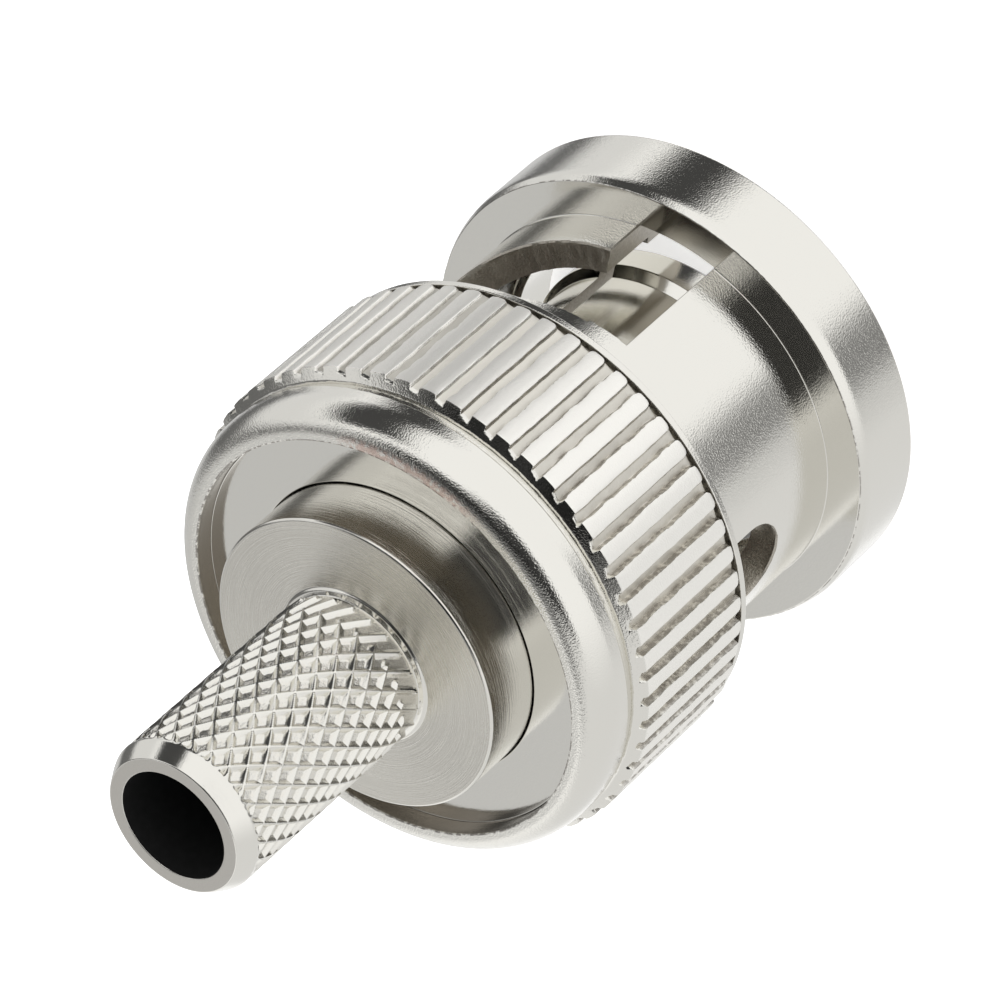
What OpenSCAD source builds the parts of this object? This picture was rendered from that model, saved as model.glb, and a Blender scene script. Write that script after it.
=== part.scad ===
// Straight BNC crimp plug: a bayonet coupling nut on a one-piece body.
// Millimetres. Z is the plug's axis. The mouth is at z = 0 and the cable stem points up.
// The nut's two slots start on the X axis.

/* [Coupling nut] */
// Outer diameter of the front ring
ring_d = 14.5; // [14.3:0.1:15]
// Length of the front ring
ring_l = 2.5; // [2:0.1:2.8]
// Outer diameter of the slotted sleeve
sleeve_d = 12.1; // [11.8:0.1:12.4]
// Diameter of the bore at the mouth
mouth_d = 9.9; // [9.8:0.05:10]
// Where the grip starts, from the mouth
grip_z = 8.4; // [8.3:0.1:8.6]
// Diameter over the grip's flutes
grip_d = 14.84; // [14.6:0.02:15]
// Length of the fluted part of the grip
flute_l = 4.55; // [4:0.05:4.6]
// Number of flutes round the grip
flutes = 56; // [40:1:64]
// Depth of a flute
flute_depth = 0.34; // [0.2:0.02:0.36]
// Overall length of the nut
nut_l = 15.1; // [15:0.1:15.4]

/* [Bayonet] */
// Width of the slot's straight entry
entry_w = 2.5; // [2.2:0.1:2.6]
// Diameter of the round pocket that the stud rests in
pocket_d = 2.7; // [2.4:0.1:2.8]
// Turn from the entry to the pocket, in degrees
lock_turn = 92.5; // [88:0.5:94]
// Height of the pocket's centre above the mouth
pocket_z = 6.3; // [6.1:0.1:6.4]

/* [Body] */
// Overall height of the plug
plug_l = 24.3; // [23.5:0.1:26]
// Outer diameter of the slotted front contact
contact_d = 7.9; // [7.8:0.02:7.96]
// Diameter over the bead at the contact's front
bead_d = 8.4; // [8.2:0.02:8.4]
// Inner diameter of the front contact
contact_bore_d = 7; // [6.8:0.05:7.1]
// Number of slots in the front contact
contact_slots = 4; // [2:1:6]
// Outer diameter of the rear hub
hub_d = 9.08; // [9:0.02:9.1]
// Height of the hub's rear face
hub_top = 16.35; // [16.2:0.05:16.6]
// Diameter over the stem's knurl
stem_d = 4.7; // [4.5:0.05:4.8]
// Diameter of the cable bore through the stem
stem_bore_d = 3.32; // [3:0.02:3.4]

/* [Centre pin] */
// Diameter of the pin
pin_d = 1.35; // [1.32:0.01:1.37]
// Height of the pin's tip above the mouth
pin_tip_z = 2.2; // [1.8:0.1:2.6]

/* [Hidden] */
$fn = 96;
eps = 0.02;

// Nut: radii and heights up from the mouth
ring_r = ring_d / 2;
sleeve_r = sleeve_d / 2;
mouth_r = mouth_d / 2;
crest_r = grip_d / 2;
root_r = crest_r - flute_depth;
core_r = root_r - 0.04;
neck_r = root_r - 0.08;
neck_l = 0.4;
shoulder_r = root_r + 0.02;
lip_r = crest_r - 0.1;
lip_l = 0.22;
trench_l = 0.08;
flute_z = grip_z + lip_l + trench_l;
flute_top = flute_z + flute_l;
shoulder_z = flute_top + neck_l;
neck_chamfer = 0.05;
round_l = 1.05;
round_r = 0.7;
rim_r = shoulder_r - round_r;
rim_l = 0.18;
recess_r = rim_r - rim_l;
recess_l = 0.62;
recess_z = nut_l - recess_l;
web_z = 13.1;
web_seat_z = 13.85;
web_bore_r = 4.3;
web_seat_r = hub_d / 2 + 0.08;
bore_over = 4;
relief_r = 5.2;
relief_z = 1.8;
relief_l = 6.4;
front_chamfer = 0.12;
rear_chamfer = 0.2;
mouth_chamfer = 0.2;
cut_over = 1;
crest_share = 0.56;
flute_front_l = 0.25;
flute_rear_l = 0.2;
flute_foot = 0.05;

// Slots: the entry's roof lies just outside the sleeve, so the ring is cut through too
entry_r = sleeve_r + 0.05;
slot_reach = sleeve_r + 0.6 - mouth_r + cut_over;
entry_top = 6.7;
entry_half_turn = asin(entry_w / 2 / sleeve_r);
cam_steps = 10;
cam_start_z = 3.84;
cam_rise = 0.00048;
cam_end = lock_turn - 12.5;
path_start = -0.5;
path_top_start = 6.75;
path_rise = 0.00022;
pocket_top = 8.15;
pocket_r = pocket_d / 2;
pocket_back_z = pocket_top - pocket_r;

// Body: radii and heights
contact_r = contact_d / 2;
bead_r = bead_d / 2;
contact_bore_r = contact_bore_d / 2;
contact_z = 0.8;
contact_chamfer = 0.25;
bead_top = 2.3;
bead_chamfer = 0.3;
bead_nose_l = 0.35;
slot_w = 0.5;
slot_l = 7.5;
slot_turn = 32;
neck_top = web_seat_z + 0.05;
body_neck_r = 4.2;
body_neck_z = 10.7;
groove_z = 11.5;
groove_l = 0.4;
groove_r = 3.98;
cavity_top = 14.5;
hub_r = hub_d / 2;
hub_chamfer = 0.12;
stem_r = stem_d / 2;
stem_bore_r = stem_bore_d / 2;
stem_foot_r = stem_r + 0.02;
stem_nose_l = 0.8;
stem_nose_r = 2.05;
knurl_z = hub_top + 0.12;

// Inner pieces
bush_z = 7.8;
bush_step_z = 9.3;
bush_gap = 0.01;
pin_r = pin_d / 2;
pin_nose_l = 0.9;
pin_neck_r = 0.95;
pin_barrel_r = 1.15;
pin_gap = 0.02;
pin_barrel_z = bush_step_z + 0.1;
pin_top = 14.2;
pin_hole_r = 0.5;
pin_hole_l = 3.2;
ring_gap_turn = 40;
gasket_z = 10.5;
seal_r = 4.88;
inner_r = body_neck_r + 0.04;
washer_l = 0.25;
fixed_z = groove_z + groove_l;
wave_z = fixed_z + washer_l;
thrust_z = web_z - washer_l;
wave_l = thrust_z - wave_z;
wave_strip = 0.2;
wave_count = 3;
wave_steps = 48;

// Points of the arc from angle a0 to a1 round [cx, cy], with a radius on each axis
function arc(cx, cy, rx, ry, a0, a1, steps) =
    [for (i = [0:steps]) [cx + rx * cos(a0 + (a1 - a0) * i / steps), cy + ry * sin(a0 + (a1 - a0) * i / steps)]];

// One flute and the land beside it, as three points of the grip's section
function flute_points(i) =
    let (pitch = 360 / flutes, land = pitch * crest_share / 2, mid = pitch * i)
    [[crest_r * cos(mid - land), crest_r * sin(mid - land)],
     [crest_r * cos(mid + land), crest_r * sin(mid + land)],
     [root_r * cos(mid + pitch / 2), root_r * sin(mid + pitch / 2)]];

// Height of the cam, which is the slot's front wall, at an angle from the entry's centre
function cam_z(turn) = cam_start_z + cam_rise * pow(max(turn - entry_half_turn, 0), 2);

// Height of the slot's rear wall at an angle from the entry's centre
function path_top(turn) = path_top_start + path_rise * pow(turn, 2);

module tube(outer, inner, z0, z1) {
    translate([0, 0, z0]) difference() {
        cylinder(r = outer, h = z1 - z0);
        translate([0, 0, -1]) cylinder(r = inner, h = z1 - z0 + 2);
    }
}

// The nut's turned outside, without flutes
module nut_blank() {
    rotate_extrude() polygon(concat(
        [[mouth_r - 1, 0], [ring_r - front_chamfer, 0], [ring_r, front_chamfer]],
        [[ring_r, ring_l - rear_chamfer], [ring_r - rear_chamfer, ring_l], [sleeve_r, ring_l]],
        [[sleeve_r, grip_z], [lip_r, grip_z], [lip_r, grip_z + lip_l], [core_r, grip_z + lip_l]],
        [[core_r, flute_top], [neck_r, flute_top], [neck_r, shoulder_z - neck_chamfer], [shoulder_r, shoulder_z]],
        arc(rim_r, nut_l - round_l, round_r, round_l, 0, 90, 10),
        [[mouth_r - 1, nut_l]]));
}

// The grip's flutes, chamfered at both ends
module flute_band() {
    intersection() {
        translate([0, 0, flute_z]) linear_extrude(flute_l)
            polygon([for (i = [0:flutes - 1]) each flute_points(i)]);
        rotate_extrude() polygon([[core_r - 1, flute_z], [root_r + flute_foot, flute_z],
            [crest_r + eps, flute_z + flute_front_l], [crest_r + eps, flute_top - flute_rear_l],
            [root_r + flute_foot, flute_top], [core_r - 1, flute_top]]);
    }
}

// What is bored out of the nut: the mouth and its relief, the web's two bores and the rear recess
module nut_bores() {
    translate([0, 0, -1]) cylinder(r = mouth_r, h = web_z + 1);
    translate([0, 0, relief_z]) cylinder(r = relief_r, h = relief_l);
    translate([0, 0, web_z - 1]) cylinder(r = web_bore_r, h = bore_over);
    translate([0, 0, web_seat_z]) cylinder(r = web_seat_r, h = bore_over);
    translate([0, 0, recess_z]) cylinder(r = recess_r, h = bore_over);
    cylinder(r1 = mouth_r + mouth_chamfer, r2 = mouth_r, h = mouth_chamfer);
}

// One bayonet slot: entry, cam path and pocket
module bayonet_slot() {
    intersection() {
        translate([mouth_r - cut_over, -entry_w / 2, -1]) cube([4, entry_w, entry_top + 1]);
        translate([0, 0, -2]) cylinder(r = entry_r, h = entry_top + 4);
    }
    for (i = [0:cam_steps - 1]) {
        from = path_start + (cam_end - path_start) * i / cam_steps;
        to = path_start + (cam_end - path_start) * (i + 1) / cam_steps;
        half = sleeve_r * sin((to - from) / 2) + eps;
        rotate([0, 0, (from + to) / 2]) translate([mouth_r - cut_over, 0, 0]) rotate([90, 0, 90])
            linear_extrude(slot_reach)
            polygon([[-half, cam_z(from)], [half, cam_z(to)], [half, path_top(to)], [-half, path_top(from)]]);
    }
    rotate([0, 0, lock_turn]) translate([mouth_r - cut_over, 0, 0]) rotate([90, 0, 90])
        linear_extrude(slot_reach) polygon(concat(
            arc(0, pocket_z, pocket_r, pocket_r, -180, 0, 24),
            arc(0, pocket_back_z, pocket_r, pocket_r, 0, 90, 12),
            [[-pocket_r, pocket_top + eps]]));
}

module coupling_nut() {
    color([0.86, 0.85, 0.81]) difference() {
        union() {
            nut_blank();
            flute_band();
        }
        nut_bores();
        for (side = [0, 180]) rotate([0, 0, side]) bayonet_slot();
    }
}

// The body's turned outside, from the bead up to the cable stem's end
module body_outside() {
    rotate_extrude() polygon(concat(
        [[0, contact_z], [bead_r - bead_chamfer, contact_z], [bead_r, contact_z + bead_nose_l]],
        [[bead_r, bead_top - bead_chamfer], [contact_r, bead_top], [contact_r, body_neck_z]],
        [[body_neck_r, body_neck_z], [body_neck_r, groove_z], [groove_r, groove_z]],
        [[groove_r, groove_z + groove_l], [body_neck_r, groove_z + groove_l], [body_neck_r, neck_top]],
        [[hub_r, neck_top], [hub_r, hub_top - hub_chamfer], [hub_r - hub_chamfer, hub_top]],
        [[stem_foot_r, hub_top], [stem_foot_r, knurl_z], [stem_r, knurl_z], [stem_r, plug_l - stem_nose_l]],
        arc(stem_nose_r, plug_l - stem_nose_l, stem_r - stem_nose_r, stem_nose_l, 15, 90, 5),
        [[0, plug_l]]));
}

module plug_body() {
    color([0.84, 0.83, 0.79]) difference() {
        body_outside();
        translate([0, 0, contact_z - 1]) cylinder(r = contact_bore_r, h = cavity_top - contact_z + 1);
        cylinder(r = stem_bore_r, h = plug_l + 1);
        translate([0, 0, contact_z - eps])
            cylinder(r1 = contact_bore_r + contact_chamfer, r2 = contact_bore_r, h = contact_chamfer + eps);
        for (i = [0:contact_slots - 1]) rotate([0, 0, slot_turn + i * 360 / contact_slots])
            translate([contact_bore_r - 0.5, -slot_w / 2, contact_z - 1]) cube([2, slot_w, slot_l + 1]);
    }
}

module insulator() {
    color([0.93, 0.93, 0.9]) difference() {
        translate([0, 0, bush_z]) cylinder(r = contact_bore_r - bush_gap, h = cavity_top - bush_z);
        translate([0, 0, bush_z - 1]) cylinder(r = pin_neck_r + pin_gap, h = cavity_top);
        translate([0, 0, bush_step_z]) cylinder(r = pin_barrel_r + pin_gap, h = cavity_top);
    }
}

module centre_pin() {
    color([0.83, 0.68, 0.35]) difference() {
        rotate_extrude() polygon(concat(
            [[0, pin_tip_z]],
            arc(0, pin_tip_z + pin_nose_l, pin_r, pin_nose_l, -75, 0, 6),
            [[pin_r, bush_z], [pin_neck_r, bush_z], [pin_neck_r, pin_barrel_z]],
            [[pin_barrel_r, pin_barrel_z], [pin_barrel_r, pin_top], [0, pin_top]]));
        translate([0, 0, pin_top - pin_hole_l]) cylinder(r = pin_hole_r, h = pin_hole_l + 1);
    }
}

module gasket() {
    color([0.75, 0.3, 0.25]) tube(seal_r, inner_r, gasket_z, groove_z - eps);
}

module retaining_ring() {
    color([0.7, 0.7, 0.7]) translate([0, 0, groove_z + eps]) rotate([0, 0, ring_gap_turn / 2])
        rotate_extrude(angle = 360 - ring_gap_turn)
        translate([groove_r + eps, 0]) square([seal_r - groove_r - 0.1, groove_l - 2 * eps]);
}

module fixed_washer() {
    color([0.7, 0.7, 0.7]) tube(seal_r, inner_r, fixed_z, fixed_z + washer_l);
}

// Three waves of thin spring strip, as rings of four points
module wave_washer() {
    points = [for (i = [0:wave_steps - 1])
        let (turn = 360 * i / wave_steps, lift = (1 - cos(wave_count * turn)) / 2 * (wave_l - wave_strip - 2 * eps))
        each [for (corner = [[inner_r, 0], [seal_r, 0], [seal_r, wave_strip], [inner_r, wave_strip]])
            [corner[0] * cos(turn), corner[0] * sin(turn), wave_z + eps + lift + corner[1]]]];
    faces = [for (i = [0:wave_steps - 1], side = [0:3])
        let (here = 4 * i, next = 4 * ((i + 1) % wave_steps), other = (side + 1) % 4)
        each [[here + side, here + other, next + other], [here + side, next + other, next + side]]];
    color([0.6, 0.6, 0.62]) polyhedron(points = points, faces = faces);
}

module thrust_washer() {
    color([0.7, 0.7, 0.7]) tube(seal_r, inner_r, thrust_z, web_z);
}

coupling_nut();
plug_body();
insulator();
centre_pin();
gasket();
retaining_ring();
fixed_washer();
wave_washer();
thrust_washer();
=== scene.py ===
# %% [markdown]
# # A bayonet coaxial plug, built for its looks
# The plug is a turned and plated coupling nut on a one-piece body with a knurled cable stem.
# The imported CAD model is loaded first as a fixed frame, and every visible piece is then made round it.
# Lengths below are in millimetres, because that is how such a part is drawn, and are scaled
# to Blender's metres when a mesh is made.

# %% Load the frame
import math

import bmesh
import bpy
import numpy as np
from mathutils import Matrix, Vector


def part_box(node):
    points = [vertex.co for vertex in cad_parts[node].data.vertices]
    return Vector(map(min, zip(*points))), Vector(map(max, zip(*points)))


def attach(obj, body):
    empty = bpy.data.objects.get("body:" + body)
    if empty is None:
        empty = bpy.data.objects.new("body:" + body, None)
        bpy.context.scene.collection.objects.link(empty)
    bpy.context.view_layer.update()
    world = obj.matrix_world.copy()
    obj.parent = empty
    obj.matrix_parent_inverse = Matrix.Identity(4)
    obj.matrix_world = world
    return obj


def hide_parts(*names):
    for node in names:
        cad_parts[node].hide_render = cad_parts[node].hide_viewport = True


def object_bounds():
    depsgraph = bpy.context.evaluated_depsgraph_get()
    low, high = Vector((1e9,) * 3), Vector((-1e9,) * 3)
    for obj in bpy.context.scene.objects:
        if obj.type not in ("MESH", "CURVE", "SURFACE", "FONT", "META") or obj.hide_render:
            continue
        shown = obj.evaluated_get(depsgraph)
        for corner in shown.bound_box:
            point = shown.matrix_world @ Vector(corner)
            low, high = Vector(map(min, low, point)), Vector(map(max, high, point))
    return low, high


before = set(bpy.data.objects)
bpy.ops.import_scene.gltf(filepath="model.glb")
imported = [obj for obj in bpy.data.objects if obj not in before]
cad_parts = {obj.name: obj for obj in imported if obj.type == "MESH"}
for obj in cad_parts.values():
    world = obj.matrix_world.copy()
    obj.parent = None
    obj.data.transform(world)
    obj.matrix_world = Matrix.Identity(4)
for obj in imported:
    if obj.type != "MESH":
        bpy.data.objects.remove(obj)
cad_low, cad_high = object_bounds()
MM = 0.001

# %% [markdown]
# The driving sizes come from the frame's own boxes, so that a change of the CAD model carries over.
# The rest are the turned steps between them, named as a turner would name them.

# %% Sizes taken from the frame
nut_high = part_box("coupling_nut")[1] / MM
body_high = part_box("plug_body")[1] / MM
NUT_TOP = nut_high.z
CREST_R = nut_high.x
STEM_TOP = body_high.z
print(f"nut {NUT_TOP:.2f} mm long, {2 * CREST_R:.2f} mm over the flutes; stem ends at {STEM_TOP:.2f} mm")

# %% Steps of the nut
RING_R = 7.25
RING_TOP = 2.5
RING_CHAMFER = 0.1
MOUTH_CHAMFER = 0.2
NUT_EASE = 0.035
SLEEVE_R = 6.05
MOUTH_R = 4.95
GRIP_Z = 8.4
LIP_R = CREST_R - 0.1
LIP_TOP = GRIP_Z + 0.22
ROOT_R = CREST_R - 0.34
CORE_R = ROOT_R - 0.04
NECK_R = ROOT_R - 0.08
FLUTE_Z = LIP_TOP + 0.08
FLUTE_TOP = FLUTE_Z + 4.55
SHOULDER_Z = FLUTE_TOP + 0.4
SHOULDER_R = ROOT_R + 0.02
RIM_R = SHOULDER_R - 0.7
ROUND_L = 1.05
RECESS_R = RIM_R - 0.18
RECESS_Z = NUT_TOP - 0.62
WEB_Z = 13.1
WEB_SEAT_Z = 13.85
WEB_BORE_R = 4.3
WEB_SEAT_R = 4.575
RELIEF_R = 5.2
RELIEF_Z = 1.8
RELIEF_TOP = 8.2

# %% Steps of the body
HUB_R = 4.54
HUB_TOP = 16.35
STEM_R = 2.35
STEM_FOOT_R = 2.37
KNURL_Z = 16.47
CROSS_Z = 17.15
NOSE_Z = STEM_TOP - 0.8
NOSE_R = 2.05
STEM_BORE_R = 1.66
CONTACT_R = 3.95
CONTACT_BORE_R = 3.5
CONTACT_Z = 0.8
BEAD_R = 4.2
BEAD_TOP = 2.3
NECK_Z = 10.7
BODY_NECK_R = 4.2
GROOVE_Z = 11.5
GROOVE_TOP = 11.9
GROOVE_R = 3.98
CAVITY_TOP = 14.5
SAW_CUTS = 4
SAW_TURN = 32
SAW_SIZE = (2, 0.5, 8.5)
SAW_PLACE = (4, 0, 4.05)
BODY_EASE = 0.03

# %% [markdown]
# A camera is easiest to place by the point it looks at and the direction it looks from.
# The plug stands on its mouth here, but is seen lying across the frame,
# so the camera is rolled about its own line of sight. A long lens keeps the circles calm.

# %% Camera
AIM = Vector((0.32, 0.62, 8.79)) * MM
DISTANCE = 192.1 * MM
AZIMUTH, ELEVATION, ROLL = (math.radians(angle) for angle in (-27.19, 39.3, 131.55))

camera = bpy.data.objects.new("camera", bpy.data.cameras.new("camera"))
bpy.context.scene.collection.objects.link(camera)
bpy.context.scene.camera = camera
camera.data.lens = 252
camera.data.sensor_width = 36
camera.data.clip_start = 0.01
camera.data.clip_end = 10
toward_camera = Vector((math.cos(ELEVATION) * math.cos(AZIMUTH),
                        math.cos(ELEVATION) * math.sin(AZIMUTH), math.sin(ELEVATION)))
upright = toward_camera.to_track_quat("Z", "Y").to_matrix().to_4x4()
camera.matrix_world = (Matrix.Translation(AIM + toward_camera * DISTANCE) @ upright
                       @ Matrix.Rotation(-ROLL, 4, "Z"))
print("camera at", [round(x / MM, 1) for x in camera.location])

# %% [markdown]
# Shader maths reads best as ordinary arithmetic. This small class wraps one output socket,
# and each operator on it adds a Math node, so a mask can be written as 1 - mask.

# %% Arithmetic on sockets
class Signal:
    """One value in a node tree. Arithmetic on it adds Math nodes."""

    def __init__(self, tree, socket):
        self.tree = tree
        self.socket = socket

    def maths(self, operation, *values):
        node = self.tree.nodes.new("ShaderNodeMath")
        node.operation = operation
        for socket, value in zip(node.inputs, values):
            feed(self.tree, socket, value)
        return Signal(self.tree, node.outputs[0])

    def __add__(self, other):
        return self.maths("ADD", self, other)

    def __sub__(self, other):
        return self.maths("SUBTRACT", self, other)

    def __rsub__(self, other):
        return self.maths("SUBTRACT", other, self)

    def __mul__(self, other):
        return self.maths("MULTIPLY", self, other)

    def __truediv__(self, other):
        return self.maths("DIVIDE", self, other)

    def __pow__(self, other):
        return self.maths("POWER", self, other)

    __radd__ = __add__
    __rmul__ = __mul__


def feed(tree, socket, value):
    """Links a signal to a socket, or sets a plain value on it."""
    if isinstance(value, Signal):
        tree.links.new(value.socket, socket)
    else:
        socket.default_value = value


# %% [markdown]
# Everything that isn't arithmetic comes from one method, which takes a node's type, its settings
# and what goes into its sockets. Turned parts are described best by radius, height and turn,
# so a finish offers those three as signals, in millimetres and turns.

# %% A finish under construction
class Nodes:
    """A node tree and the ways to add to it."""

    def __init__(self, tree):
        self.tree = tree
        tree.nodes.clear()

    def node(self, kind, settings=None, inputs=None, output=0):
        made = self.tree.nodes.new(kind)
        for name, value in (settings or {}).items():
            setattr(made, name, value)
        for key, value in (inputs or {}).items():
            feed(self.tree, find_socket(made.inputs, key), value)
        return Signal(self.tree, find_socket(made.outputs, output))

    def smooth(self, value, low, high):
        """0 below low, 1 above high, and a smooth step between. low may be above high."""
        flip = low > high
        ends = {"To Min": 1.0, "To Max": 0.0} if flip else {}
        low, high = min(low, high), max(low, high)
        return self.node("ShaderNodeMapRange", {"interpolation_type": "SMOOTHSTEP"},
                         {"Value": value, "From Min": low, "From Max": high, **ends})

    def band(self, value, low, high, soft):
        """1 between low and high, falling to 0 over soft on each side."""
        return self.smooth(value, low - soft, low + soft) * self.smooth(value, high + soft, high - soft)

    def mix(self, mask, a, b):
        return self.node("ShaderNodeMix", {"data_type": "RGBA"},
                         {"Factor_Float": mask, "A_Color": a, "B_Color": b}, "Result_Color")

    def vector(self, x, y, z):
        return self.node("ShaderNodeCombineXYZ", None, {"X": x, "Y": y, "Z": z})

    def noise(self, where, scale, detail=2.0, roughness=0.5):
        """Noise from 0 to 1 at a point."""
        return self.node("ShaderNodeTexNoise", None,
                         {"Vector": where, "Scale": scale, "Detail": detail, "Roughness": roughness})

    def xyz(self, coordinates):
        parts = self.node("ShaderNodeSeparateXYZ", None, {"Vector": coordinates})
        node = parts.socket.node
        return [Signal(self.tree, socket) for socket in node.outputs]


def find_socket(sockets, key):
    if isinstance(key, int):
        return sockets[key]
    return next(s for s in sockets if s.identifier == key or s.name == key)


class Finish(Nodes):
    """A metal, plastic or rubber finish: one Principled shader and what varies over it."""

    def __init__(self, name, **constants):
        self.material = bpy.data.materials.new(name)
        self.material.use_nodes = True
        super().__init__(self.material.node_tree)
        self.shader = self.tree.nodes.new("ShaderNodeBsdfPrincipled")
        out = self.tree.nodes.new("ShaderNodeOutputMaterial")
        self.tree.links.new(self.shader.outputs[0], out.inputs["Surface"])
        self.set(**constants)
        self.point = self.node("ShaderNodeTexCoord", None, None, "Object")
        x, y, z = self.xyz(self.point)
        self.radius = (x * x + y * y) ** 0.5 * (1 / MM)
        self.height = z * (1 / MM)
        self.turn = self.node("ShaderNodeMath", {"operation": "ARCTAN2"}, {0: y, 1: x}) / math.tau
        normal_x, normal_y, self.up = self.xyz(self.node("ShaderNodeTexCoord", None, None, "Normal"))
        self.outward = (normal_x * x + normal_y * y) / (x * x + y * y) ** 0.5

    def set(self, **values):
        for name, value in values.items():
            feed(self.tree, self.shader.inputs[name.replace("_", " ")], value)

    def turned_marks(self, fine=14.0):
        """Rings cut by a lathe tool: noise that changes with radius and height, hardly with turn."""
        where = self.vector(self.radius * fine, self.height * fine, self.turn * 5)
        return self.noise(where, 1.0, 3.0, 0.7)

    def grain(self, size, detail=2.0):
        """Fine even grain whose cells are about size millimetres across."""
        return self.noise(self.point, 1 / (size * MM), detail)

    def bump(self, height, depth):
        """Tilts the surface by a height signal, depth millimetres deep."""
        self.set(Normal=self.node("ShaderNodeBump", None,
                                  {"Height": height, "Distance": depth * MM, "Strength": 1.0}))


# %% [markdown]
# Bright metal shows its surroundings more than itself, so the studio matters as much as the finish.
# It is a white tent with tall black cards, a large one above the lens, a dark patch low down
# and a dim ceiling.
# They are drawn in the world by direction. Only reflections see them, while the floor and
# everything dull is lit evenly, and the camera sees plain white.

# %% Studio
# Ranges of azimuth or elevation, in degrees.
FRONT_CARD, FRONT_CARD_TOP = (28, 62), (30, 20)
UPPER_CARD, UPPER_CARD_FOOT = (-86, -12), (26, 31)
FRONT_DARK, FRONT_DARK_FOOT = (-14, 74), (40, 46)
SIDE_CARD, SIDE_GREY, SIDE_SHADE = (100, 124), (120, 160), (68, 100)
LOW_PATCH, LOW_PATCH_HALO, LOW_PATCH_TOP = (-88, -58), (-104, -60), (-35, -38)
CEILING_FOOT, CEILING_STRIP = (56, 61), (70, 79)


def studio_brightness(world):
    """How bright the tent is in each direction, for reflections."""
    x, y, z = world.xyz(world.node("ShaderNodeTexCoord", None, None, "Generated"))
    azimuth = world.node("ShaderNodeMath", {"operation": "ARCTAN2"}, {0: y, 1: x}) * (180 / math.pi)
    elevation = world.node("ShaderNodeMath", {"operation": "ARCSINE"}, {0: z}) * (180 / math.pi)
    lean = world.smooth(elevation, -20, -42) * 7
    front_card = world.band(azimuth + lean, *FRONT_CARD, 4) * world.smooth(elevation, *FRONT_CARD_TOP)
    upper_card = world.band(azimuth, *UPPER_CARD, 4) * world.smooth(elevation, *UPPER_CARD_FOOT)
    front_dark = world.band(azimuth, *FRONT_DARK, 6) * world.smooth(elevation, *FRONT_DARK_FOOT)
    side_card = world.band(azimuth, *SIDE_CARD, 5)
    side_grey = world.band(azimuth, *SIDE_GREY, 6)
    patch = world.band(azimuth, *LOW_PATCH, 7) * 0.55 + world.band(azimuth, *LOW_PATCH_HALO, 8) * 0.22
    low_patch = patch * world.smooth(elevation, *LOW_PATCH_TOP)
    ceiling = world.smooth(elevation, *CEILING_FOOT) * (1 - world.band(elevation, *CEILING_STRIP, 3) * 0.3)
    left = world.smooth(azimuth, -70, -110) * world.smooth(azimuth, -190, -165)
    open_tent = 1.06 - left * 0.26 - world.band(azimuth, *SIDE_SHADE, 6) * 0.26
    return (open_tent * (1 - front_card * 0.94) * (1 - upper_card * 0.96) * (1 - front_dark * 0.9)
            * (1 - side_card * 0.85) * (1 - side_grey * 0.4) * (1 - low_patch) * (1 - ceiling * 0.86))


def build_world():
    scene_world = bpy.data.worlds.new("studio")
    bpy.context.scene.world = scene_world
    scene_world.use_nodes = True
    world = Nodes(scene_world.node_tree)
    seen_in_metal = world.node("ShaderNodeLightPath", None, None, "Is Glossy Ray")
    strength = 1 + seen_in_metal * (studio_brightness(world) - 1)
    background = world.node("ShaderNodeBackground", None, {"Color": (1, 1, 1, 1), "Strength": strength})
    out = world.tree.nodes.new("ShaderNodeOutputWorld")
    world.tree.links.new(background.socket, out.inputs["Surface"])
    print("studio world built with", len(world.tree.nodes), "nodes")


build_world()

# %% [markdown]
# The floor is one pale sheet under the plug's mouth. It takes the plug's shadow. Reflections pass
# through it to the tent, as if the plug stood on a glass table over white cloth.

# %% Floor
FLOOR_SIZE = 1.2
FLOOR_GAP = 0.00002
FLOOR_GLOW = (0.62, 0.62, 0.62, 1)
floor_mesh = bpy.data.meshes.new("floor")
half = FLOOR_SIZE / 2
floor_corners = [(-half, -half, 0), (half, -half, 0), (half, half, 0), (-half, half, 0)]
floor_mesh.from_pydata(floor_corners, [], [(0, 1, 2, 3)])
floor = bpy.data.objects.new("floor", floor_mesh)
bpy.context.scene.collection.objects.link(floor)
floor.location.z = cad_low.z - FLOOR_GAP
floor.visible_glossy = False
floor_finish = Finish("floor_paper", Roughness=0.9, Base_Color=(0.97, 0.97, 0.97, 1),
                      Specular_IOR_Level=0.0, Emission_Strength=1.0)
to_camera = floor_finish.node("ShaderNodeLightPath", None, None, "Is Camera Ray")
floor_finish.set(Emission_Color=floor_finish.mix(to_camera, (0, 0, 0, 1), FLOOR_GLOW))
floor_mesh.materials.append(floor_finish.material)

bpy.context.scene.view_settings.view_transform = "Standard"

# %% [markdown]
# Nearly every surface here was turned, so one helper revolves a closed outline. The outline's corners
# are eased first, because a real edge is never perfectly sharp and its tiny round catches the light.

# %% Outlines
def arc(centre, radii, start, end, steps):
    """Points of an elliptic arc from angle start to end, in degrees."""
    angles = np.radians(np.linspace(start, end, steps + 1))
    return [(centre[0] + radii[0] * math.cos(a), centre[1] + radii[1] * math.sin(a)) for a in angles]


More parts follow.
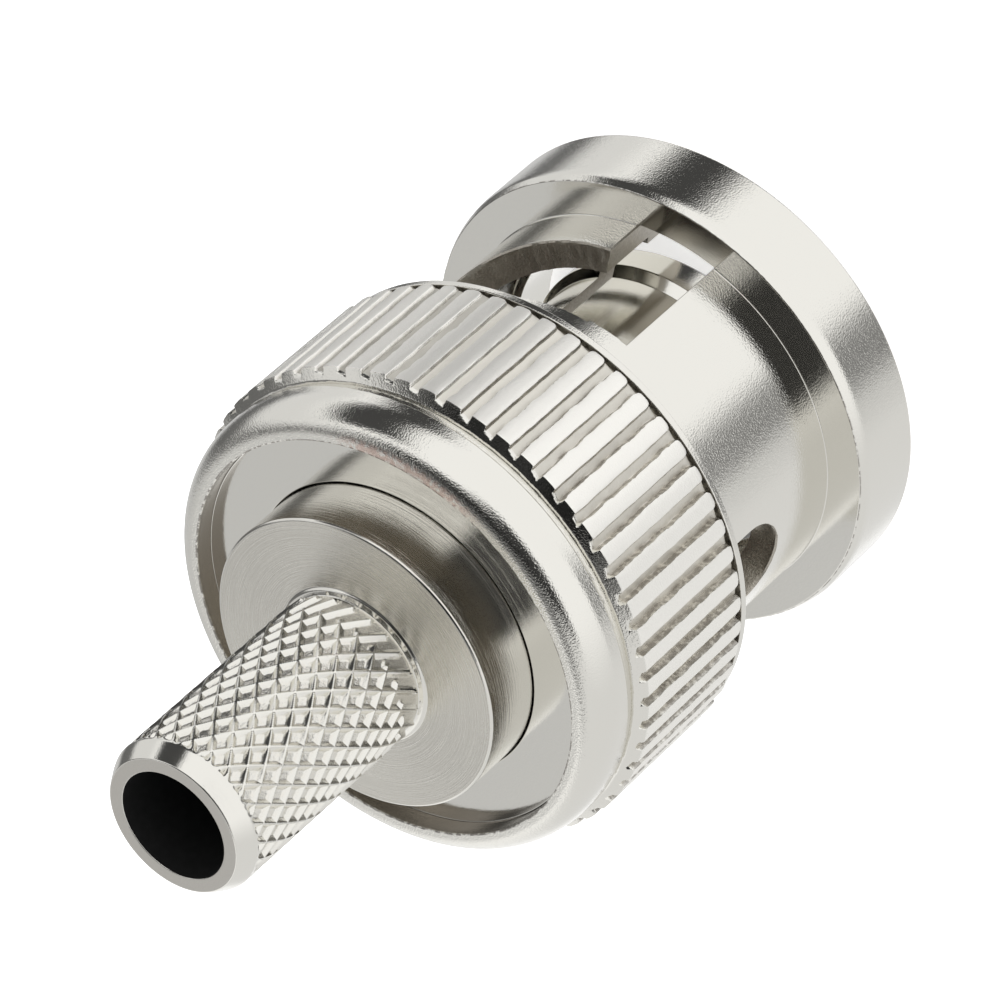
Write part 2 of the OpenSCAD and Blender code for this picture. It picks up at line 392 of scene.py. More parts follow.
def eased(outline, ease, closed=True, steps=3, sharpest=15):
    """An outline with each corner of more than sharpest degrees rounded by about ease.
    An open outline keeps its two ends."""
    made = []
    count = len(outline)
    for k, point in enumerate(outline):
        here = np.array(point, float)
        if not closed and k in (0, count - 1):
            made.append(here)
            continue
        back = np.array(outline[k - 1]) - here
        ahead = np.array(outline[(k + 1) % count]) - here
        back_l, ahead_l = np.linalg.norm(back), np.linalg.norm(ahead)
        bend = 180 - math.degrees(math.acos(np.clip(back @ ahead / back_l / ahead_l, -1, 1)))
        if bend < sharpest:
            made.append(here)
            continue
        cut_l = min(ease, 0.4 * back_l, 0.4 * ahead_l)
        start, end = here + back / back_l * cut_l, here + ahead / ahead_l * cut_l
        for s in np.linspace(0, 1, steps + 1):
            made.append((1 - s) ** 2 * start + 2 * s * (1 - s) * here + s * s * end)
    return np.array(made)


# %% Meshes
def mesh_piece(name, points, faces, materials, face_material=None):
    """A smooth-shaded mesh object from points in millimetres."""
    mesh = bpy.data.meshes.new(name)
    mesh.from_pydata((np.asarray(points) * MM).tolist(), [], np.asarray(faces).tolist())
    for material in materials:
        mesh.materials.append(material)
    if face_material is not None:
        mesh.polygons.foreach_set("material_index", np.asarray(face_material, np.int32))
    mesh.polygons.foreach_set("use_smooth", np.ones(len(mesh.polygons), bool))
    mesh.update()
    piece = bpy.data.objects.new(name, mesh)
    bpy.context.scene.collection.objects.link(piece)
    return piece


def loop_faces(rows, columns):
    """Quads of a grid that closes on itself both ways: an outline revolved all the way round."""
    row, column = np.meshgrid(np.arange(rows), np.arange(columns), indexing="ij")
    below, right = (row + 1) % rows, (column + 1) % columns
    corners = [row * columns + column, row * columns + right,
               below * columns + right, below * columns + column]
    return np.stack(corners, -1).reshape(-1, 4)


def ring_points(radius, height, turn):
    """Points from radius, height and turn in radians, as a flat list."""
    return np.stack([radius * np.cos(turn), radius * np.sin(turn), height], -1).reshape(-1, 3)


def along(turn, outward, up):
    """Vectors with an outward and an upward part, each at its own turn."""
    return np.stack([outward * np.cos(turn), outward * np.sin(turn), up], -1)


def shade(piece, angle=35):
    """Sets the normals. Large faces lead, so flats stay flat beside eased edges, and a turned
    face leans its normal towards each of its corners, so that it shades as a true round."""
    mesh = piece.data
    points, faces = np.zeros(len(mesh.vertices) * 3), mesh.polygons
    mesh.vertices.foreach_get("co", points)
    corner_point = np.zeros(len(mesh.loops), np.int32)
    mesh.loops.foreach_get("vertex_index", corner_point)
    centres, normals = np.zeros(len(faces) * 3), np.zeros(len(faces) * 3)
    areas, totals = np.zeros(len(faces)), np.zeros(len(faces), np.int32)
    faces.foreach_get("center", centres)
    faces.foreach_get("normal", normals)
    faces.foreach_get("area", areas)
    faces.foreach_get("loop_total", totals)
    points, centres, normals = points.reshape(-1, 3), centres.reshape(-1, 3), normals.reshape(-1, 3)
    middle = np.arctan2(centres[:, 1], centres[:, 0])
    outward = normals[:, 0] * np.cos(middle) + normals[:, 1] * np.sin(middle)
    sideways = normals[:, 1] * np.cos(middle) - normals[:, 0] * np.sin(middle)
    owner = np.repeat(np.arange(len(faces)), totals)
    corner_turn = np.arctan2(points[corner_point, 1], points[corner_point, 0])
    flat, weight = normals[owner], (areas[owner] * 1e6) ** 2 + 1e-12
    leaned = along(corner_turn, outward[owner], normals[owner, 2])
    own = np.where(np.abs(sideways[owner])[:, None] < 0.03, leaned, flat)
    order = np.argsort(corner_point, kind="stable")
    sorted_point, sorted_own, sorted_weight = corner_point[order], own[order], weight[order]
    total = sorted_own * sorted_weight[:, None]
    for step in range(1, int(np.bincount(corner_point).max())):
        here, there = np.arange(len(order) - step), np.arange(step, len(order))
        near = (sorted_point[here] == sorted_point[there]) \
            & ((sorted_own[here] * sorted_own[there]).sum(1) > math.cos(math.radians(angle)))
        here, there = here[near], there[near]
        total[here] += sorted_own[there] * sorted_weight[there, None]
        total[there] += sorted_own[here] * sorted_weight[here, None]
    total /= np.linalg.norm(total, axis=1)[:, None]
    result = np.zeros_like(total)
    result[order] = total
    mesh.normals_split_custom_set(result.tolist())


def cut(piece, cutters):
    """Cuts closed meshes out of a piece, exactly, and removes the cutters."""
    for cutter in cutters:
        modifier = piece.modifiers.new("cut", "BOOLEAN")
        modifier.operation = "DIFFERENCE"
        modifier.solver = "EXACT"
        modifier.object = cutter
        modifier.material_mode = "TRANSFER"
    graph = bpy.context.evaluated_depsgraph_get()
    made = bpy.data.meshes.new_from_object(piece.evaluated_get(graph))
    piece.modifiers.clear()
    old = piece.data
    piece.data = made
    bpy.data.meshes.remove(old)
    for cutter in cutters:
        bpy.data.objects.remove(cutter)
    print(piece.name, "cut:", len(made.polygons), "faces")


# %% [markdown]
# The coupling nut is brass, turned, fluted and plated with bright nickel. One finish covers it and
# changes over it: polished outside, mirror-flat where a flat was faced, duller in the flutes' bottoms,
# and rosy on the rim, where the plate is thin. It also carries painted light: a near-white highlight on the
# crests, painted shade on the steep flute walls and a near-black recess wall. Masks of radius and height
# say where.

# %% Nickel on the nut
NICKEL = (0.80, 0.785, 0.735, 1)
NICKEL_WORN = (0.66, 0.47, 0.40, 1)
NICKEL_DULL = (0.80, 0.77, 0.70, 1)
CREST_HIGHLIGHT = (0.97, 0.955, 0.91, 1)
SHADE_AND_BURR_DARK = (0.16, 0.14, 0.12, 1)
RECESS_WALL_SHADE = (0.17, 0.145, 0.115, 1)


def nut_plate():
    metal = Finish("nut_plate", Metallic=1.0)
    marks = metal.turned_marks()
    grain = metal.grain(0.05)
    coarse = metal.grain(0.16, 3.0)
    in_grip = metal.band(metal.height, LIP_TOP + 0.02, FLUTE_TOP - 0.06, 0.04)
    crest = in_grip * metal.smooth(metal.radius, CREST_R - 0.06, CREST_R - 0.02)
    groove = in_grip * metal.smooth(metal.radius, CREST_R - 0.04, CREST_R - 0.12)
    shaded_flute_walls = in_grip * metal.smooth(metal.outward, 0.5, 0.2)
    rim_top = metal.smooth(metal.height, NUT_TOP - 0.14, NUT_TOP - 0.02)
    patchy = metal.band(metal.turn, -0.05, 0.05, 0.02) * metal.smooth(coarse, 0.3, 0.6)
    rim = rim_top * metal.smooth(metal.radius, RIM_R + 0.25, RIM_R + 0.1) * patchy
    shaded_recess_wall = (metal.band(metal.height, RECESS_Z, NUT_TOP - 0.04, 0.02)
            * metal.smooth(metal.radius, RECESS_R + 0.05, RECESS_R + 0.01))
    rough_edge = metal.smooth(metal.height, NUT_TOP - 0.3, NUT_TOP - 0.06)
    recess_edge = rim_top * metal.band(metal.radius, RECESS_R - 0.02, RECESS_R + 0.05, 0.02)
    ring_edge = (metal.band(metal.height, RING_TOP - 0.04, RING_TOP + 0.02, 0.02)
                 * metal.band(metal.radius, RING_R - 0.16, RING_R - 0.11, 0.02))
    burr = (recess_edge + ring_edge) * metal.smooth(coarse, 0.42, 0.56)
    # painted highlight: the flute crests are coloured near white, brighter than the nickel
    colour = metal.mix(crest, NICKEL, CREST_HIGHLIGHT)
    colour = metal.mix(groove * 0.75, colour, NICKEL_DULL)
    # painted shade: the steep flute walls are darkened in patches towards a near-black brown
    colour = metal.mix(shaded_flute_walls * metal.smooth(coarse, 0.25, 0.6) * 0.75, colour, SHADE_AND_BURR_DARK)
    colour = metal.mix(rim * 0.7, colour, NICKEL_WORN)
    # painted shade: the recess wall inside the rim is coloured a near-black brown
    colour = metal.mix(shaded_recess_wall * 0.92, colour, RECESS_WALL_SHADE)
    colour = metal.mix(burr * 0.7, colour, SHADE_AND_BURR_DARK)
    roughness = 0.06 + marks * 0.05 + crest * 0.42 + groove * 0.42 + rim * 0.2
    metal.set(Base_Color=colour, Roughness=roughness)
    height = grain * (1.2 + rough_edge * 2.0 + crest * 0.4) + coarse * (groove * 0.8 + 0.3) + marks * 0.3
    metal.bump(height, 0.0045)
    return metal.material


def faced_plate():
    """The flats that a facing cut left: bright, with fine rings and a few specks."""
    metal = Finish("faced_plate", Metallic=1.0)
    marks = metal.turned_marks(20.0)
    speckle = metal.grain(0.045, 3.0)
    metal.set(Base_Color=metal.mix(speckle * 0.35, NICKEL, (0.66, 0.65, 0.62, 1)),
              Roughness=0.07 + marks * 0.05)
    metal.bump(marks * 0.1 + speckle * 0.22, 0.004)
    return metal.material


def milled_wall():
    """The slots' walls, left rough by the cutter."""
    metal = Finish("milled_wall", Metallic=1.0)
    where = metal.vector(metal.radius * 3, metal.height * 16, metal.turn * 400)
    chatter = metal.noise(where, 1.0, 3.0, 0.6)
    grain = metal.grain(0.06, 3.0)
    # darker and browner than the plate: partly the rough cut, partly painted shade inside the slots
    metal.set(Base_Color=metal.mix(grain, (0.58, 0.55, 0.49, 1), (0.32, 0.29, 0.24, 1)),
              Roughness=0.3 + grain * 0.15)
    metal.bump(chatter + grain, 0.012)
    return metal.material


NUT_PLATE, FACED_PLATE, MILLED_WALL = nut_plate(), faced_plate(), milled_wall()

# %% [markdown]
# A fluted grip could be cut with fifty-six boxes, but its charm is in the torn edges that a straight
# knurling wheel leaves. So each column of the mesh knows where it lies in its flute, and each row
# widens, narrows and frays the crests a little. Round tongues start the crests, and a slope ends them.

# %% Flutes
FLUTES = 56
CREST_HALF = 0.29
CREST_COLUMNS = (-1.0, -0.62, -0.2, 0.2, 0.62, 1.0)
GROOVE = ((0.06, 0.5), (0.14, 1.0), (0.26, 0.94), (0.56, 0.78), (0.84, 0.6), (0.93, 0.25))
GROOVE_DEPTH = 0.2
FLUTE_COLUMNS = len(CREST_COLUMNS) + len(GROOVE)
FLUTE_STARTS = (0.0, 0.02, 0.06, 0.12, 0.2, 0.3)
END_L = 0.22
END_DROP = 0.34
END_STEPS = 9
FLUTE_STEP = 0.1
random = np.random.default_rng(7)


def ragged(rows, columns, size):
    """Smooth random values of about size, one for each row and column."""
    rough = random.normal(0, size, (rows + 4, columns))
    return 0.6 * rough[2:-2] + 0.25 * (rough[1:-3] + rough[3:-1]) + 0.15 * (rough[:-4] + rough[4:])


def flute_heights():
    starts = np.array(FLUTE_STARTS) + FLUTE_Z
    end = np.linspace(FLUTE_TOP - 0.04, FLUTE_TOP - 0.04 + END_L, END_STEPS)
    middle = np.arange(starts[-1] + FLUTE_STEP, end[0] - FLUTE_STEP / 2, FLUTE_STEP)
    return np.concatenate([starts, middle, end])


def column_turns():
    """Each column's place round the nut, in flutes, before any fraying."""
    groove = CREST_HALF + (1 - 2 * CREST_HALF) * np.array([share for share, depth in GROOVE])
    one = np.concatenate([CREST_HALF * np.array(CREST_COLUMNS), groove])
    return (np.arange(FLUTES)[:, None] + one[None, :]).ravel()


def flute_rows():
    """Radius, height and turn of every point in the fluted band."""
    heights = flute_heights()
    rows = len(heights)
    from_front = heights - FLUTE_Z
    half = CREST_HALF * np.sqrt(1 - (1 - np.clip(from_front / 0.26, 0.02, 1)) ** 2)
    rise = np.sqrt(np.clip(from_front / 0.07, 0, 1))
    into_end = np.clip(1 - (heights[-1] - heights) / END_L, 0, 1)
    sloped_end = CREST_R - END_DROP * into_end
    half = half * np.sqrt(1 - 0.85 * into_end ** 2)
    left = half[:, None] + ragged(rows, FLUTES, 0.008)
    right = half[:, None] + ragged(rows, FLUTES, 0.026)
    uneven = ragged(rows, FLUTES, 0.002)
    depths = ragged(1, FLUTES, 0.02) + GROOVE_DEPTH
    radius = np.zeros((rows, FLUTES, FLUTE_COLUMNS))
    place = np.zeros_like(radius)
    for k, share in enumerate(CREST_COLUMNS):
        place[:, :, k] = np.where(share < 0, left, right) * share
        edge = 0.014 * (abs(share) == 1)
        radius[:, :, k] = CREST_R - edge - 0.004 + np.clip(uneven, -0.01, 0.003)
    next_left = np.roll(left, -1, axis=1)
    for k, (share, depth) in enumerate(GROOVE, len(CREST_COLUMNS)):
        place[:, :, k] = right + (1 - next_left - right) * share
        radius[:, :, k] = CREST_R - depths * depth + ragged(rows, FLUTES, 0.003 if share > 0.2 else 0.012)
    radius = CORE_R + (radius - CORE_R) * rise[:, None, None]
    radius = np.minimum(radius, sloped_end[:, None, None] - 0.004)
    turn = (place + np.arange(FLUTES)[None, :, None]).reshape(rows, -1) * math.tau / FLUTES
    return radius.reshape(rows, -1), np.repeat(heights[:, None], turn.shape[1], 1), turn


# %% The nut's outline and mesh
def nut_chains():
    """The nut's section: from the mouth out to the flutes, and from the flutes back inside."""
    front = [(MOUTH_R + MOUTH_CHAMFER, 0), (RING_R - RING_CHAMFER, 0), (RING_R, RING_CHAMFER),
             (RING_R, RING_TOP - 0.42), (RING_R - 0.03, RING_TOP - 0.2), (RING_R - 0.12, RING_TOP),
             (SLEEVE_R, RING_TOP), (SLEEVE_R, GRIP_Z), (LIP_R, GRIP_Z), (LIP_R, LIP_TOP),
             (CORE_R, LIP_TOP + 0.01)]
    shoulder = arc((RIM_R, NUT_TOP - ROUND_L), (SHOULDER_R - RIM_R, ROUND_L), 0, 90, 22)
    rear = [(NECK_R, FLUTE_TOP + END_L - 0.03), (NECK_R, SHOULDER_Z - 0.02),
            (SHOULDER_R, SHOULDER_Z + 0.04), *shoulder, (RECESS_R, NUT_TOP), (RECESS_R, RECESS_Z),
            (WEB_SEAT_R, RECESS_Z), (WEB_SEAT_R, WEB_SEAT_Z),
            (WEB_BORE_R, WEB_SEAT_Z), (WEB_BORE_R, WEB_Z), (MOUTH_R, WEB_Z), (MOUTH_R, RELIEF_TOP),
            (RELIEF_R, RELIEF_TOP), (RELIEF_R, RELIEF_Z), (MOUTH_R, RELIEF_Z), (MOUTH_R, MOUTH_CHAMFER)]
    return front, rear


def build_nut():
    base_turn = column_turns() * math.tau / FLUTES
    parts = []
    for chain in nut_chains():
        chain = eased(chain, NUT_EASE, closed=False)
        rows = (len(chain), len(base_turn))
        parts.append((np.broadcast_to(chain[:, :1], rows), np.broadcast_to(chain[:, 1:], rows),
                      np.broadcast_to(base_turn, rows)))
    parts.insert(1, flute_rows())
    radius, height, turn = (np.concatenate([part[k] for part in parts]) for k in range(3))
    print("nut grid:", radius.shape)
    return mesh_piece("nut_shell", ring_points(radius, height, turn), loop_faces(*radius.shape),
                      [NUT_PLATE, FACED_PLATE, MILLED_WALL])


# %% [markdown]
# Each bayonet slot starts as a straight channel from the mouth, climbs round the sleeve along a cam,
# and ends in a round pocket. It is cut with a closed block that has the slot's floor and roof, and
# whose walls are already a little rough, so that the cut takes over a milled look.

# %% Bayonet slots
ENTRY_HALF = 1.25
ENTRY_TOP = 6.7
ENTRY_R = SLEEVE_R + 0.05
POCKET_R = 1.35
POCKET_Z = 6.3
LOCK_TURN = 92.5
CAM_END = 80.0
CAM_START_Z = 3.84
CAM_RISE = 0.00048
PATH_START = -0.5
PATH_TOP = 6.75
PATH_RISE = 0.00022
POCKET_TOP = 8.15
POCKET_BACK_Z = POCKET_TOP - POCKET_R
MM_PER_DEGREE = SLEEVE_R * math.pi / 180
ENTRY_EDGE = math.degrees(math.asin(ENTRY_HALF / SLEEVE_R))


def slot_floor(turn):
    """The cam, and then the lower half of the pocket."""
    cam = CAM_START_Z + CAM_RISE * np.maximum(turn - ENTRY_EDGE, 0) ** 2
    across = np.clip((turn - LOCK_TURN) * MM_PER_DEGREE, -POCKET_R, POCKET_R)
    pocket = POCKET_Z - np.sqrt(POCKET_R ** 2 - across ** 2)
    return np.where(turn < CAM_END, cam, pocket)


def slot_roof(turn):
    path = np.where(turn < CAM_END, PATH_TOP + PATH_RISE * turn ** 2, POCKET_TOP)
    across = np.clip((turn - LOCK_TURN) * MM_PER_DEGREE, 0, POCKET_R)
    return np.where(turn < LOCK_TURN, path, POCKET_BACK_Z + np.sqrt(POCKET_R ** 2 - across ** 2))


def block(name, low, high, side, rough):
    """A closed cutter between a low and a high surface, given as arrays of columns by layers of points."""
    columns, layers = low.shape[:2]
    for surface in (low, high):
        surface[:, :, 2] += random.normal(0, rough, (columns, layers))
    points = np.concatenate([low.reshape(-1, 3), high.reshape(-1, 3)])
    index = np.arange(columns * layers).reshape(columns, layers)
    quads = np.stack([index[:-1, :-1], index[1:, :-1], index[1:, 1:], index[:-1, 1:]], -1).reshape(-1, 4)
    rim = np.concatenate([index[:, 0], index[-1, 1:], index[-2::-1, -1], index[0, -2:0:-1]])
    after = np.roll(rim, -1)
    lift = columns * layers
    walls = np.stack([rim, after, after + lift, rim + lift], -1)
    piece = mesh_piece(name, points, np.concatenate([quads, quads[:, ::-1] + lift, walls]), [MILLED_WALL])
    piece.data.transform(Matrix.Rotation(side, 4, "Z"))
    fix_outside(piece)
    return piece


def fix_outside(piece):
    """Turns every face of a closed mesh outwards."""
    shape = bmesh.new()
    shape.from_mesh(piece.data)
    bmesh.ops.recalc_face_normals(shape, faces=shape.faces)
    shape.to_mesh(piece.data)
    shape.free()


def slot_cutters(side):
    """The entry and the cam path of the slot that starts at angle side."""
    layers = np.array([4.6, 5.1, 5.3, 5.5, 5.7, 5.9, SLEEVE_R - 0.05, SLEEVE_R, 6.15, 6.6])
    flare = np.clip((layers - SLEEVE_R + 0.05) / 0.05, 0, 1) * 0.045
    round_pocket = np.sin(np.radians(np.linspace(-70, 90, 22)))
    pocket_turns = LOCK_TURN + np.degrees(round_pocket * POCKET_R / SLEEVE_R)
    past_cam = pocket_turns[pocket_turns > CAM_END + 0.1]
    turns = np.concatenate([np.linspace(PATH_START, CAM_END, 80), past_cam])
    angle = np.radians(turns)[:, None] * np.ones(len(layers))
    flat = np.stack([layers * np.cos(angle), layers * np.sin(angle)], -1)

    def surface(heights, widen):
        return np.concatenate([flat, (heights[:, None] + widen * flare)[:, :, None]], -1)

    path = block("path_cutter", surface(slot_floor(turns), -1), surface(slot_roof(turns), 1), side, 0.012)
    across = np.linspace(-ENTRY_HALF, ENTRY_HALF, 20)
    depth = np.append(layers[:8], ENTRY_R)
    x = np.sqrt(depth[None, :] ** 2 - across[:, None] ** 2)
    y = np.broadcast_to(across[:, None], x.shape).copy()
    flared_walls = np.outer((-1, 1), np.append(flare[:8], flare[-1]))
    y[[0, -1]] += random.normal(0, 0.01, (2, len(depth))) + flared_walls
    low = np.stack([x, y, np.full_like(x, -1.0)], -1)
    high = np.stack([x, y, np.full_like(x, ENTRY_TOP)], -1)
    return [block("entry_cutter", low, high, side, 0.008), path]


def paint(piece, rules):
    """Gives faces a material by rules on their centre's radius and height and how far they face up."""
    faces = piece.data.polygons
    centres, normals = np.zeros(len(faces) * 3), np.zeros(len(faces) * 3)
    faces.foreach_get("center", centres)
    faces.foreach_get("normal", normals)
    centres, up = centres.reshape(-1, 3) / MM, normals.reshape(-1, 3)[:, 2]
    radius, height = np.hypot(centres[:, 0], centres[:, 1]), centres[:, 2]
    index = np.zeros(len(faces), np.int32)
    faces.foreach_get("material_index", index)
    for slot, rule in rules.items():
        index[rule(radius, height, up)] = slot
    faces.foreach_set("material_index", index)


nut = build_nut()
fix_outside(nut)
cut(nut, [cutter for side in (0, math.pi) for cutter in slot_cutters(side)])
paint(nut, {1: lambda r, z, up: (np.abs(up) > 0.95) & ((np.abs(z - RECESS_Z) < 0.05)
                                                     | ((np.abs(z - RING_TOP) < 0.03) & (r > SLEEVE_R)))})
shade(nut)
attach(nut, "nut")
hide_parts("coupling_nut")

# %% [markdown]
# The body is one turned piece too: slotted contact, neck, hub and cable stem. Its finish is the same
# bright nickel, with a faced hub whose rings show, and a bore painted near black for the shade inside it.
# The hub's face is stretched round the axis by a constant anisotropy, which is what makes the soft fans of
# light on it.

# %% Nickel on the body
def body_plate():
    metal = Finish("body_plate", Metallic=1.0)
    marks = metal.turned_marks(18.0)
    grain = metal.grain(0.045)
    coarse = metal.grain(0.11, 3.0)
    in_knurl = metal.band(metal.height, KNURL_Z, NOSE_Z, 0.06) * metal.smooth(metal.radius, 2.6, 2.5)
    pit = in_knurl * metal.smooth(metal.radius, STEM_R - 0.04, STEM_R - 0.11)
    on_hub = (metal.smooth(metal.radius, HUB_R - 0.3, HUB_R - 0.1)
              * metal.band(metal.height, WEB_SEAT_Z, HUB_TOP, 0.1))
    colour = metal.mix(pit * metal.smooth(coarse, 0.35, 0.7) * 0.55, NICKEL, NICKEL_DULL)
    metal.set(Base_Color=colour, Roughness=0.08 + marks * 0.05 + pit * 0.12 + on_hub * 0.03)
    metal.bump(grain * (0.4 + pit) + marks * (0.3 + on_hub * 0.9) + coarse * pit * 0.4, 0.005)
    return metal.material


def hub_face():
    metal = Finish("hub_face", Metallic=1.0, Anisotropic=0.85)
    marks = metal.turned_marks(26.0)
    speckle = metal.grain(0.05, 3.0)
    metal.set(Base_Color=metal.mix(marks, (0.60, 0.58, 0.53, 1), (0.78, 0.76, 0.70, 1)),
              Roughness=0.2 + marks * 0.12)
    metal.bump(marks + speckle * 0.5, 0.007)
    return metal.material


def end_face():
    """The stem's end: plain satin grey, darker than the plate."""
    metal = Finish("end_face", Metallic=1.0)
    speckle = metal.grain(0.05, 3.0)
    metal.set(Base_Color=metal.mix(speckle, (0.52, 0.50, 0.46, 1), (0.62, 0.60, 0.56, 1)),
              Roughness=0.34 + speckle * 0.1)
    metal.bump(speckle, 0.004)
    return metal.material


# painted shade: the plated bore is coloured near black, standing in for the shade deep inside it
def painted_bore_shade():
    metal = Finish("painted_bore_shade", Metallic=0.0, Specular_IOR_Level=0.2)
    grain = metal.grain(0.2, 3.0)
    metal.set(Base_Color=metal.mix(grain, (0.006, 0.006, 0.006, 1), (0.016, 0.016, 0.016, 1)),
              Roughness=0.6 + grain * 0.2)
    metal.bump(grain, 0.004)
    return metal.material


BODY_PLATE, HUB_FACE, END_FACE, PAINTED_BORE_SHADE = body_plate(), hub_face(), end_face(), painted_bore_shade()

# %% [markdown]
# A diamond knurl is two families of fine ridges that wind opposite ways, with flat-bottomed pits
# between them. The mesh's columns and rows are spaced so that one row up is one column round along
# either family. Every ridge then runs through points of the mesh and stays crisp.

# %% Diamond knurl
STARTS = 24
CELLS = 18
AXIAL_PITCH = 0.92
KNURL_COLUMNS = STARTS * CELLS
KNURL_DEPTH = 0.125
KNURL_TOP = NOSE_Z + 0.28
ROW_STEP = AXIAL_PITCH / CELLS


def ridge(offset):
    """Height of one family of ridges, from 0 in the pits to 1, at an offset in mesh columns."""
    off = np.abs((offset + CELLS / 2) % CELLS - CELLS / 2)
    return np.clip(1 - (off - 0.9) / 3.3, 0, 1)


def knurl_rows():
    rows = int(round((KNURL_TOP - KNURL_Z) / ROW_STEP))
    row, column = np.meshgrid(np.arange(rows + 1), np.arange(KNURL_COLUMNS), indexing="ij")
    height = KNURL_Z + row * ROW_STEP
    climbing = ridge(column - row)
    falling = ridge(column + row)
    bar_end = KNURL_Z + 0.1 + 0.05 * np.sin(column * 1.7)
    climbing = climbing * np.clip((height - bar_end) / 0.08, 0, 1)
    falling = falling * np.clip((height - CROSS_Z + 0.04 * np.sin(column * 0.9)) / 0.1, 0, 1)
    fade = np.clip((KNURL_TOP - 0.05 - height) / 0.16, 0, 1)
    lift = np.maximum(climbing, falling)
    lift = 1 - (1 - lift) * fade
    noise = ragged(rows + 1, KNURL_COLUMNS, 0.002) * (1 - lift)
    radius = STEM_R - 0.004 - KNURL_DEPTH * (1 - lift) + noise * fade
    turn = column * math.tau / KNURL_COLUMNS
    return radius, height, turn


# %% The body's outline and mesh
def body_chains():
    """The body's section: from the contact out to the knurl, and from the knurl back inside."""
    front = [(CONTACT_BORE_R + 0.25, CONTACT_Z), (BEAD_R - 0.3, CONTACT_Z), (BEAD_R, CONTACT_Z + 0.35),
             (BEAD_R, BEAD_TOP - 0.3), (CONTACT_R, BEAD_TOP), (CONTACT_R, NECK_Z), (BODY_NECK_R, NECK_Z),
             (BODY_NECK_R, GROOVE_Z), (GROOVE_R, GROOVE_Z), (GROOVE_R, GROOVE_TOP),
             (BODY_NECK_R, GROOVE_TOP),
             (BODY_NECK_R, WEB_SEAT_Z + 0.05), (HUB_R, WEB_SEAT_Z + 0.05), (HUB_R, HUB_TOP - 0.05),
             (HUB_R - 0.05, HUB_TOP), (STEM_FOOT_R + 0.06, HUB_TOP), (STEM_FOOT_R, HUB_TOP + 0.06),
             (STEM_R - 0.1, KNURL_Z - 0.03)]
    nose = [(STEM_R - 0.012, KNURL_TOP + 0.03), (STEM_R - 0.045, KNURL_TOP + 0.11),
            (STEM_R - 0.1, KNURL_TOP + 0.22), (NOSE_R + 0.03, STEM_TOP)]
    rear = [*nose, (STEM_BORE_R, STEM_TOP), (STEM_BORE_R, CAVITY_TOP), (CONTACT_BORE_R, CAVITY_TOP),
            (CONTACT_BORE_R, CONTACT_Z + 0.28)]
    return front, rear


def contact_slots():
    """Four saw cuts that make the front contact springy."""
    cutters = []
    for k in range(SAW_CUTS):
        block_mesh = bpy.data.meshes.new("saw_cut")
        shape = bmesh.new()
        bmesh.ops.create_cube(shape, size=1)
        size = Matrix.Diagonal([length * MM for length in SAW_SIZE] + [1])
        place = Matrix.Translation(Vector(SAW_PLACE) * MM)
        turn = Matrix.Rotation(math.radians(SAW_TURN + 360 / SAW_CUTS * k), 4, "Z")
        bmesh.ops.transform(shape, matrix=turn @ place @ size, verts=shape.verts)
        shape.to_mesh(block_mesh)
        shape.free()
        block_mesh.materials.append(MILLED_WALL)
        cutter = bpy.data.objects.new("saw_cut", block_mesh)
        bpy.context.scene.collection.objects.link(cutter)
        cutters.append(cutter)
    return cutters


def build_body():
    base_turn = np.arange(KNURL_COLUMNS) * math.tau / KNURL_COLUMNS
    parts = []
    for chain in body_chains():
        chain = eased(chain, BODY_EASE, closed=False)
        rows = (len(chain), len(base_turn))
        parts.append((np.broadcast_to(chain[:, :1], rows), np.broadcast_to(chain[:, 1:], rows),
                      np.broadcast_to(base_turn, rows)))
    parts.insert(1, knurl_rows())
    radius, height, turn = (np.concatenate([part[k] for part in parts]) for k in range(3))
    print("body grid:", radius.shape)
    return mesh_piece("body_shell", ring_points(radius, height, turn), loop_faces(*radius.shape),
                      [BODY_PLATE, HUB_FACE, PAINTED_BORE_SHADE, MILLED_WALL, END_FACE])


body = build_body()
fix_outside(body)
cut(body, contact_slots())
# Slot 1 is the hub face, slot 2 the painted bore shade inside the stem's bore, and slot 4 the stem's end.
paint(body, {1: lambda r, z, up: (up > 0.95) & (np.abs(z - HUB_TOP) < 0.03),
             2: lambda r, z, up: (r < STEM_BORE_R + 0.01) & (z < STEM_TOP - 0.06) & (z > CAVITY_TOP - 0.02),
             4: lambda r, z, up: (up > 0.8) & (z > STEM_TOP - 0.05) & (r < NOSE_R - 0.04)})
shade(body)
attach(body, "plug")
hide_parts("plug_body")

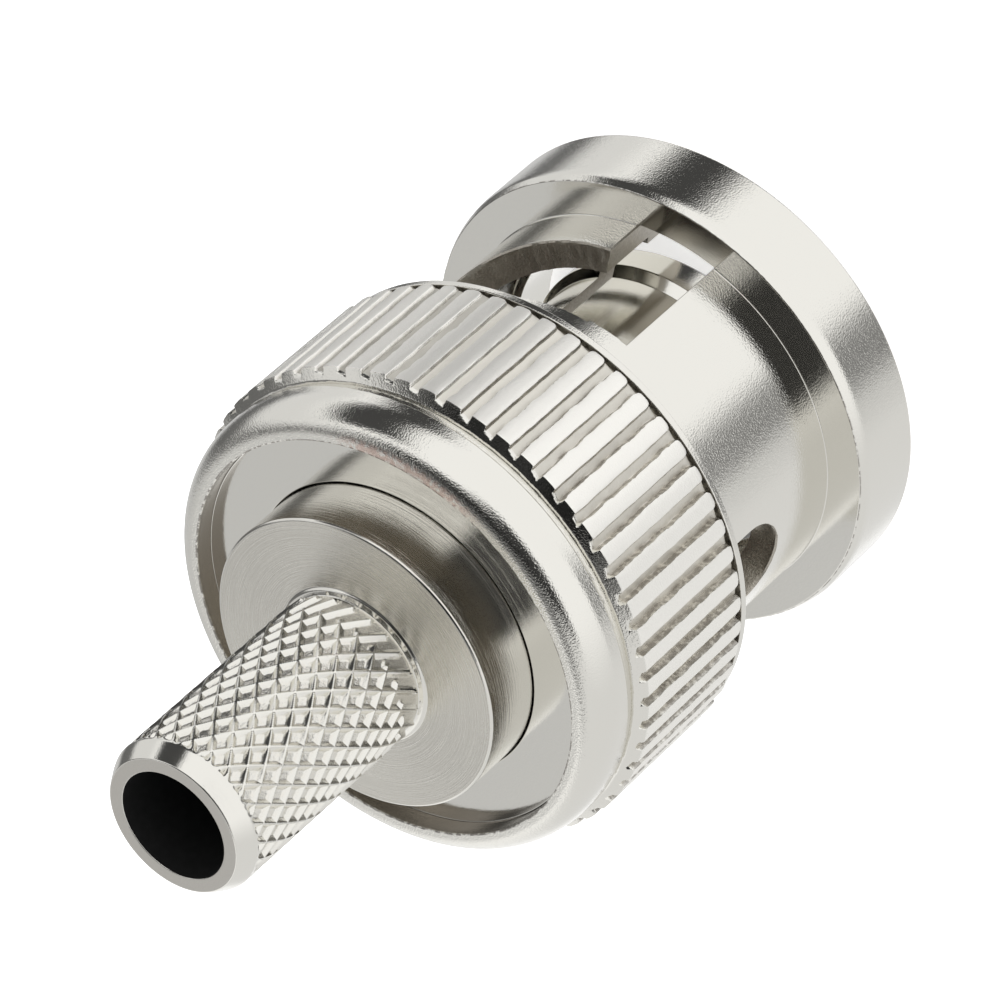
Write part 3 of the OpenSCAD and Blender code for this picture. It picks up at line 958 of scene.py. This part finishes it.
# %% [markdown]
# The small pieces inside keep their CAD shapes, which are plain turned rings and rods. What they need
# is a true finish each: white plastic, gold plate, red silicone and bright spring steel.

# %% Finishes of the inner pieces
def white_plastic():
    plastic = Finish("white_plastic", Specular_IOR_Level=0.4)
    cloud, marks = plastic.grain(0.8, 3.0), plastic.turned_marks(10.0)
    plastic.set(Base_Color=plastic.mix(cloud, (0.80, 0.80, 0.77, 1), (0.88, 0.88, 0.85, 1)),
                Roughness=0.38 + marks * 0.15)
    plastic.bump(marks, 0.006)
    return plastic.material


def gold_plate():
    gold = Finish("gold_plate", Metallic=1.0)
    marks, grain = gold.turned_marks(16.0), gold.grain(0.06)
    gold.set(Base_Color=gold.mix(grain, (0.86, 0.62, 0.25, 1), (0.93, 0.72, 0.36, 1)),
             Roughness=0.16 + marks * 0.1)
    gold.bump(marks * 0.6 + grain * 0.4, 0.004)
    return gold.material


def red_silicone():
    rubber = Finish("red_silicone", Specular_IOR_Level=0.35)
    grain = rubber.grain(0.12, 3.0)
    rubber.set(Base_Color=rubber.mix(grain, (0.42, 0.06, 0.04, 1), (0.55, 0.10, 0.07, 1)),
               Roughness=0.5 + grain * 0.2)
    rubber.bump(grain, 0.01)
    return rubber.material


def spring_steel():
    steel = Finish("spring_steel", Metallic=1.0)
    marks, grain = steel.turned_marks(12.0), steel.grain(0.07)
    steel.set(Base_Color=steel.mix(grain, (0.52, 0.51, 0.49, 1), (0.62, 0.61, 0.58, 1)),
              Roughness=0.24 + marks * 0.14)
    steel.bump(marks * 0.6 + grain * 0.5, 0.005)
    return steel.material


SPRING_STEEL = spring_steel()
INNER_FINISHES = {"insulator": white_plastic(), "centre_pin": gold_plate(), "gasket": red_silicone(),
                  "retaining_ring": SPRING_STEEL, "fixed_washer": SPRING_STEEL, "wave_washer": SPRING_STEEL,
                  "thrust_washer": SPRING_STEEL}
for node_name, finish in INNER_FINISHES.items():
    for material_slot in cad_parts[node_name].material_slots:
        material_slot.material = finish
print("finished", len(INNER_FINISHES), "inner pieces")
